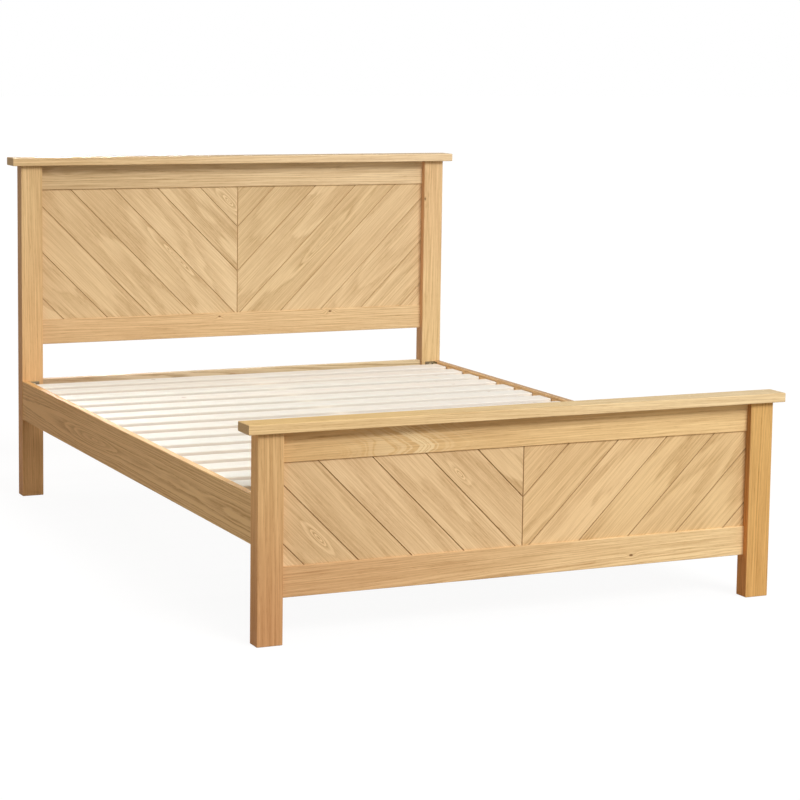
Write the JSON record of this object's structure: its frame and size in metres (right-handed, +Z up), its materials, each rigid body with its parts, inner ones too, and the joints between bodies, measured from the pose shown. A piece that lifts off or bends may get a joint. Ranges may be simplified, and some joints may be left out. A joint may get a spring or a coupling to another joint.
{
  "type": "bed frame",
  "caption": "Slatted double bed frame in pale oak with low panelled foot end, tall panelled head end in chevron boards, flat caps and bolted side rails.",
  "frame": {"origin": "on the floor under the middle of the bed", "axes": "+X to the right seen from the foot, +Y from the foot to the head, +Z up"},
  "size_m": [1.482, 2.036, 1.045],
  "materials": {
    "oak": "clear satin lacquer",
    "chevron_oak": "clear satin lacquer",
    "oak_ply": "clear satin lacquer",
    "pine": "planed, bare",
    "beech": "bare",
    "zinc_steel": "zinc plated",
    "glide_plastic": "moulded"
  },
  "bodies": {
    "root": {"head_post_left": "oak", "head_post_right": "oak", "foot_post_left": "oak", "foot_post_right": "oak", "head_cap": "oak", "foot_cap": "oak", "head_top_rail": "oak", "head_bottom_rail": "oak", "head_cross_rail": "oak", "foot_top_rail": "oak", "foot_bottom_rail": "oak", "side_rail_left": "oak", "side_rail_right": "oak", "head_chevron_left": "chevron_oak", "head_chevron_right": "chevron_oak", "foot_chevron_left": "chevron_oak", "foot_chevron_right": "chevron_oak", "head_panel_back": "oak_ply", "foot_panel_back": "oak_ply", "slat_01": "pine", "slat_02": "pine", "slat_03": "pine", "slat_04": "pine", "slat_05": "pine", "slat_06": "pine", "slat_07": "pine", "slat_08": "pine", "slat_09": "pine", "slat_10": "pine", "slat_11": "pine", "slat_12": "pine", "slat_13": "pine", "slat_14": "pine", "slat_15": "pine", "slat_16": "pine", "slat_ledge_left": "pine", "slat_ledge_right": "pine", "centre_rail": "pine", "foot_batten": "pine", "centre_leg": "pine", "head_cap_tongues": "beech", "foot_cap_tongues": "beech", "side_rail_tongues": "beech", "corner_bracket_head_left": "zinc_steel", "corner_bracket_head_right": "zinc_steel", "corner_bracket_foot_left": "zinc_steel", "corner_bracket_foot_right": "zinc_steel", "centre_rail_hanger": "zinc_steel", "bracket_bolts": "zinc_steel", "leg_stud": "zinc_steel", "leg_glide": "glide_plastic"}
  },
  "joints": []
}
